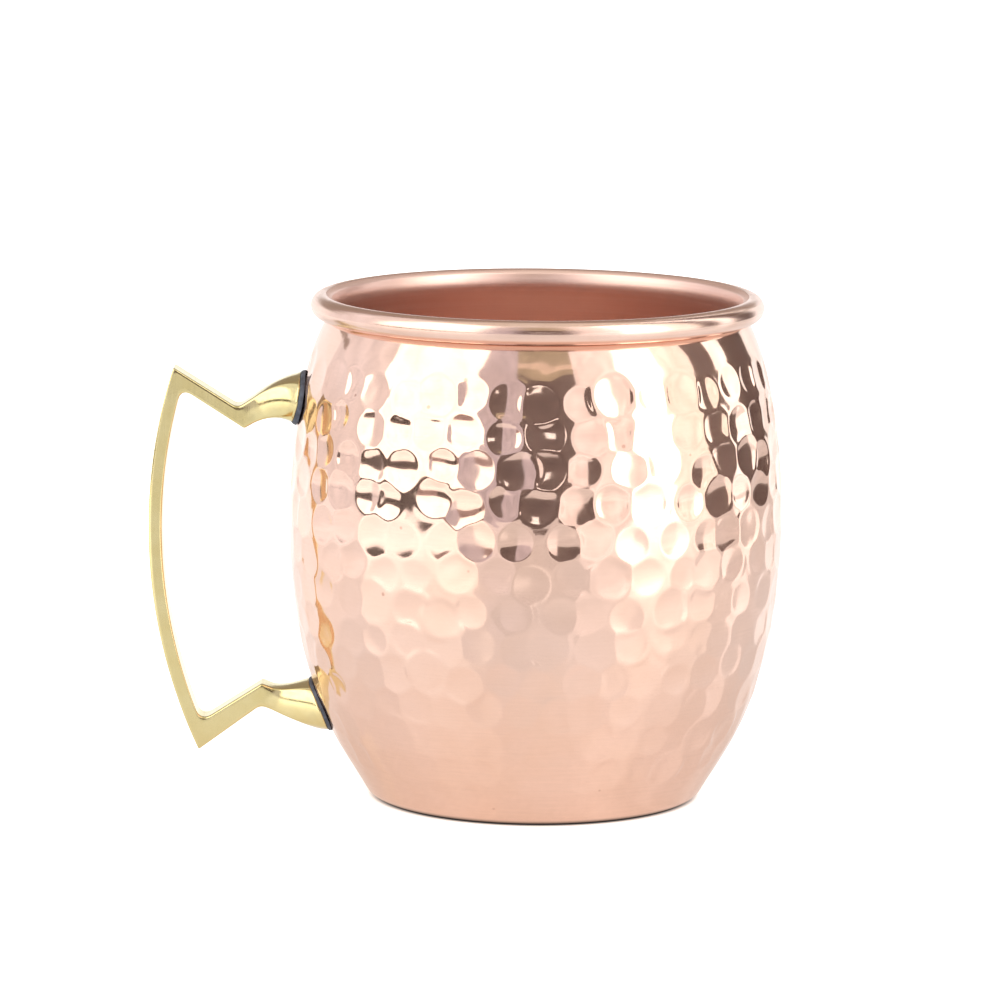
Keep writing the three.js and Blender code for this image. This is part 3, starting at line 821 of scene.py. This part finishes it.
orderUp = matchOrder(barRings[0], upRings[-1])
orderLow = matchOrder(barRings[-1], lowRings[0])
handleRings = [reorder(r, orderUp) for r in upRings] + barRings + [reorder(r, orderLow) for r in lowRings]
handleVertices, handleFaces = closedTube(handleRings)
handle = newPiece("cast_handle", handleVertices, handleFaces, [brassCast])
outwardFaces(handle)
for vertex in handle.data.vertices:
    spot = vertex.co / (handleSize["wavinessSpacing"] * mm)
    vertex.co -= vertex.normal * (1 + noise.noise(spot)) / 2 * handleSize["waviness"] * mm
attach(handle, "root")
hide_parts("handle")
print("handle made")


padSize = {
    "overhang": 0.1,
    "bulge": 0.04,
    "stations": [  # sections from the wall to the foot: share of the gap, and how far each bulges
        (0.04, -0.3), (0.05, -0.02), (0.2, 0.55), (0.5, 1.0), (0.8, 0.55), (0.97, -0.02), (0.99, -0.3),
    ],
}


def padPiece(name, node, foot):
    rings = []
    for share, bulge in padSize["stations"]:
        extra = padSize["overhang"] + bulge * padSize["bulge"]
        meets = footMeets(foot, share * foot["face"], extra)
        rings.append(np.array([footRing(foot, s, extra)[k] for k, s in enumerate(meets)]))
    vertices, faces = closedTube(rings)
    piece = newPiece(name, vertices, faces, [rubber])
    outwardFaces(piece)
    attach(piece, "root")
    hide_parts(node)


padPiece("upper_rubber_pad", "upper_pad", upperFoot)
padPiece("lower_rubber_pad", "lower_pad", lowerFoot)
for nodeName in ("upper_washer", "lower_washer", "upper_screw", "lower_screw"):
    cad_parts[nodeName].data.materials.clear()
    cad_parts[nodeName].data.materials.append(brassTurned)
print("pads made")


sweep = {
    "shown": {"light": "#f4f4f4", "dark": "#f1f1f1", "glow": 0.75, "roughness": 0.9, "specular": 0.1},
    "reflected": {"light": "#878583", "dark": "#7d7b79", "glow": 0.665, "roughness": 0.16, "specular": 0.5},
    "contact": (0.0294, 0.0311),  # metres from the middle, where the painted shadow round the base begins and ends
    "contactShade": 0.03,  # how much light the painted shadow leaves under the base
    "copperBounceLight": "#fff0e6",  # painted light thrown back onto the sweep by the mug
    "copperBounceReach": 0.11,
    "shownReach": 6.0,
    "reflectedReach": 0.78,  # the table's edge, where the reflected room starts
    "drop": {"shown": 0.0001, "reflected": 0.0003},  # below the base
    "sides": 96,
    "glowDrift": (0.84, 1.1),
}


def sweepMaterial(name, look):
    # Matt white vinyl with a very fine tooth, painted shadow under the base, painted copper glow near it.
    material, tree, shader = newMaterial(name)
    position = objectPosition(tree, 1.0)
    tooth = addNode(tree, "TexNoise", {"Scale": 1 / 1.5, "Detail": 3.0}, {"Vector": position})
    ramp = addNode(tree, "ValToRGB", links={"Fac": tooth.outputs["Fac"]})
    rampStops(ramp, [(0.3, look["dark"]), (0.7, look["light"])])
    away = addNode(tree, "VectorMath", {"operation": "LENGTH"}, {0: position}).outputs["Value"]
    # Painted contact shadow: colour and glow fall off towards the base's edge.
    shadeFrom, shadeTo = [metres / mm for metres in sweep["contact"]]
    shade = addNode(tree, "MapRange", {"From Min": shadeFrom, "From Max": shadeTo,
                                       "To Min": sweep["contactShade"], "To Max": 1.0}, {"Value": away})
    # Painted copper bounce light: the glow turns copper-coloured close to the mug.
    bounceShare = addNode(tree, "MapRange", {"From Min": shadeTo, "From Max": sweep["copperBounceReach"] / mm},
                   {"Value": away})
    throwBack = addNode(tree, "Mix", {"data_type": "RGBA", 6: linearColour(sweep["copperBounceLight"]),
                                      7: (1, 1, 1, 1)}, {0: bounceShare.outputs["Result"]})
    shaded = addNode(tree, "Mix", {"data_type": "RGBA", "blend_type": "MULTIPLY", 0: 1.0},
                     {6: ramp.outputs["Color"], 7: shade.outputs["Result"]})
    drift = addNode(tree, "TexNoise", {"Scale": 1 / 130, "Detail": 1.0}, {"Vector": position})
    least, most = [look["glow"] * share for share in sweep["glowDrift"]]
    uneven = addNode(tree, "MapRange", {"From Min": 0.3, "From Max": 0.7, "To Min": least, "To Max": most},
                     {"Value": drift.outputs["Fac"]})
    glow = addNode(tree, "Math", {"operation": "MULTIPLY"},
                   {0: uneven.outputs["Result"], 1: shade.outputs["Result"]})
    tree.links.new(shaded.outputs[2], shader.inputs["Base Color"])
    tree.links.new(throwBack.outputs[2], shader.inputs["Emission Color"])
    tree.links.new(glow.outputs[0], shader.inputs["Emission Strength"])
    shader.inputs["Roughness"].default_value = look["roughness"]
    shader.inputs["Specular IOR Level"].default_value = look["specular"]
    return material


# Two discs: one is seen and burns out to white, the other is the plain pale floor that the metal reflects.
def laySweep(name, drop, reach, material, seen):
    sides = sweep["sides"]
    rim = [(reach * math.cos(a), reach * math.sin(a), 0)
           for a in np.linspace(0, 2 * math.pi, sides + 1)[:-1]]
    mesh = bpy.data.meshes.new(name)
    mesh.from_pydata(rim, [], [list(range(sides))])
    mesh.materials.append(material)
    sheet = bpy.data.objects.new(name, mesh)
    sheet.location.z = -drop
    bpy.context.collection.objects.link(sheet)
    sheet.visible_camera = seen
    sheet.visible_glossy = not seen
    sheet.visible_diffuse = not seen


shownVinyl = sweepMaterial("brightVinylSweep", sweep["shown"])
laySweep("shownSweep", sweep["drop"]["shown"], sweep["shownReach"], shownVinyl, True)
reflectedVinyl = sweepMaterial("paleVinylSweep", sweep["reflected"])
laySweep("reflectedSweep", sweep["drop"]["reflected"], sweep["reflectedReach"], reflectedVinyl, False)

world = bpy.data.worlds.new("studio")
bpy.context.scene.world = world
world.use_nodes = True
world.node_tree.nodes["Background"].inputs["Color"].default_value = (1.0, 1.0, 1.0, 1)
world.node_tree.nodes["Background"].inputs["Strength"].default_value = 1.18

# Cards and softboxes round the mug, in degrees: from and to are azimuths from the front (-Y) towards +X, low
# and high are elevations. They only show in reflections, so that the backdrop stays plain.
studioCards = [
    {"name": "leftWall", "from": -130, "to": -86, "low": -12, "high": 62,
     "colour": "#f8f5f8", "power": 1.05},
    {"name": "leftSoftbox", "from": -86, "to": -29, "low": 1, "high": 64,
     "colour": "#fffcf6", "power": 2.2},
    {"name": "leftBench", "from": -102, "to": -46, "low": -12, "high": 1,
     "colour": "#40322f", "power": 1.0},
    {"name": "leftBenchEnd", "from": -46, "to": -29, "low": -12, "high": 1,
     "colour": "#a58f8c", "power": 1.0},
    {"name": "greyWall", "from": -29, "to": -11, "low": -12, "high": 64,
     "colour": "#bcb8c2", "power": 1.35},
    {"name": "darkRoom", "from": -11, "to": 19, "low": -12, "high": 31,
     "colour": "#6b5d5a", "power": 1.0},
    {"name": "darkRoomTop", "from": -11, "to": 19, "low": 31, "high": 64,
     "colour": "#a39b84", "power": 1.35},
    {"name": "roomRail", "from": -11, "to": 19, "low": 35, "high": 37.5,
     "colour": "#e3d3bf", "power": 1.2, "distance": 1.55},
    {"name": "roomWindow", "from": -1, "to": 5, "low": 10, "high": 15,
     "colour": "#ffffff", "power": 1.7, "distance": 1.55},
    {"name": "rightWall", "from": 19, "to": 44, "low": -12, "high": 64,
     "colour": "#fbf4f4", "power": 1.35},
    {"name": "rightSoftbox", "from": 44, "to": 68, "low": -12, "high": 64,
     "colour": "#fffdf8", "power": 3.0},
    {"name": "rightWallEdge", "from": 68, "to": 89, "low": -12, "high": 64,
     "colour": "#fff9f2", "power": 1.5},
    {"name": "rightStand", "from": 89, "to": 104, "low": -12, "high": 64,
     "colour": "#5e4a47", "power": 1.0},
    {"name": "rightSlit", "from": 104, "to": 117, "low": -2.0, "high": 64,
     "colour": "#ffffff", "power": 2.0},
    {"name": "rightRoom", "from": 117, "to": 141, "low": -12, "high": 55,
     "colour": "#55423e", "power": 1.0},
    {"name": "rightRoomEnd", "from": 141, "to": 152, "low": -12, "high": 55,
     "colour": "#ffffff", "power": 1.3},
    {"name": "backRoom", "from": 125, "to": 240, "low": 14, "high": 66,
     "colour": "#a3968c", "power": 1.0},
]
ceiling = {"height": 1.5, "radius": 0.78, "back": 0.15, "sides": 48, "colour": "#d2cdc4", "power": 1.25}
standing = {"distance": 1.6, "eye": 0.05, "across": 24, "upright": 8}  # metres, and each card's mesh
cardDrift = (0.82, 1.15)  # softboxes are never quite even


def glowMaterial(card):
    material = bpy.data.materials.new(card["name"])
    material.use_nodes = True
    tree = material.node_tree
    tree.nodes.clear()
    cloud = addNode(tree, "TexNoise", {"Scale": 5.0, "Detail": 2.0})
    least, most = [card["power"] * share for share in cardDrift]
    uneven = addNode(tree, "MapRange", {"From Min": 0.3, "From Max": 0.7, "To Min": least, "To Max": most},
                     {"Value": cloud.outputs["Fac"]})
    glow = addNode(tree, "Emission", {"Color": linearColour(card["colour"])},
                   {"Strength": uneven.outputs["Result"]})
    output = addNode(tree, "OutputMaterial")
    tree.links.new(glow.outputs[0], output.inputs["Surface"])
    return material


def reflectedOnly(piece):
    piece.visible_camera = False
    piece.visible_diffuse = False
    piece.visible_shadow = False
    piece.visible_transmission = False


def standCard(card):
    distance = card.get("distance", standing["distance"])
    across, upright = standing["across"], standing["upright"]
    vertices, faces = [], []
    for j in range(upright + 1):
        elevation = math.radians(card["low"] + (card["high"] - card["low"]) * j / upright)
        for i in range(across + 1):
            azimuth = math.radians(card["from"] + (card["to"] - card["from"]) * i / across)
            vertices.append((distance * math.sin(azimuth) * math.cos(elevation),
                             -distance * math.cos(azimuth) * math.cos(elevation),
                             standing["eye"] + distance * math.sin(elevation)))
    for j in range(upright):
        for i in range(across):
            a = j * (across + 1) + i
            faces.append([a, a + 1, a + across + 2, a + across + 1])
    mesh = bpy.data.meshes.new(card["name"])
    mesh.from_pydata(vertices, [], faces)
    mesh.materials.append(glowMaterial(card))
    piece = bpy.data.objects.new(card["name"], mesh)
    bpy.context.collection.objects.link(piece)
    reflectedOnly(piece)


def hangCeiling():
    radius, sides = ceiling["radius"], ceiling["sides"]
    rim = [(radius * math.cos(a), ceiling["back"] + radius * math.sin(a), ceiling["height"])
           for a in np.linspace(0, 2 * math.pi, sides + 1)[:-1]]
    mesh = bpy.data.meshes.new("ceiling")
    mesh.from_pydata(rim, [], [list(range(sides))])
    mesh.materials.append(glowMaterial(dict(ceiling, name="ceiling")))
    piece = bpy.data.objects.new("ceiling", mesh)
    bpy.context.collection.objects.link(piece)
    reflectedOnly(piece)


for card in studioCards:
    standCard(card)
hangCeiling()
print("studio made")

cameraSetup = {
    "distance": 1056.4,
    "height": 224.6,
    "pitch": 9.1015,  # degrees down
    "yaw": 0.3627,  # degrees towards the handle
    "roll": 0.45,
    "lens": 206.4,
}
camera = bpy.data.objects.new("camera", bpy.data.cameras.new("camera"))
bpy.context.collection.objects.link(camera)
camera.data.lens = cameraSetup["lens"]
camera.data.sensor_width = 36.0
camera.data.clip_start = 0.01
camera.data.clip_end = 50.0
turn = (Matrix.Rotation(math.radians(cameraSetup["yaw"]), 4, "Z")
        @ Matrix.Rotation(math.radians(90 - cameraSetup["pitch"]), 4, "X")
        @ Matrix.Rotation(math.radians(cameraSetup["roll"]), 4, "Z"))
place = Vector((0, -cameraSetup["distance"] * mm, cameraSetup["height"] * mm))
camera.matrix_world = Matrix.Translation(place) @ turn
bpy.context.scene.camera = camera
bpy.context.scene.view_settings.view_transform = "Standard"
bpy.context.scene.view_settings.look = "None"
print("camera set")
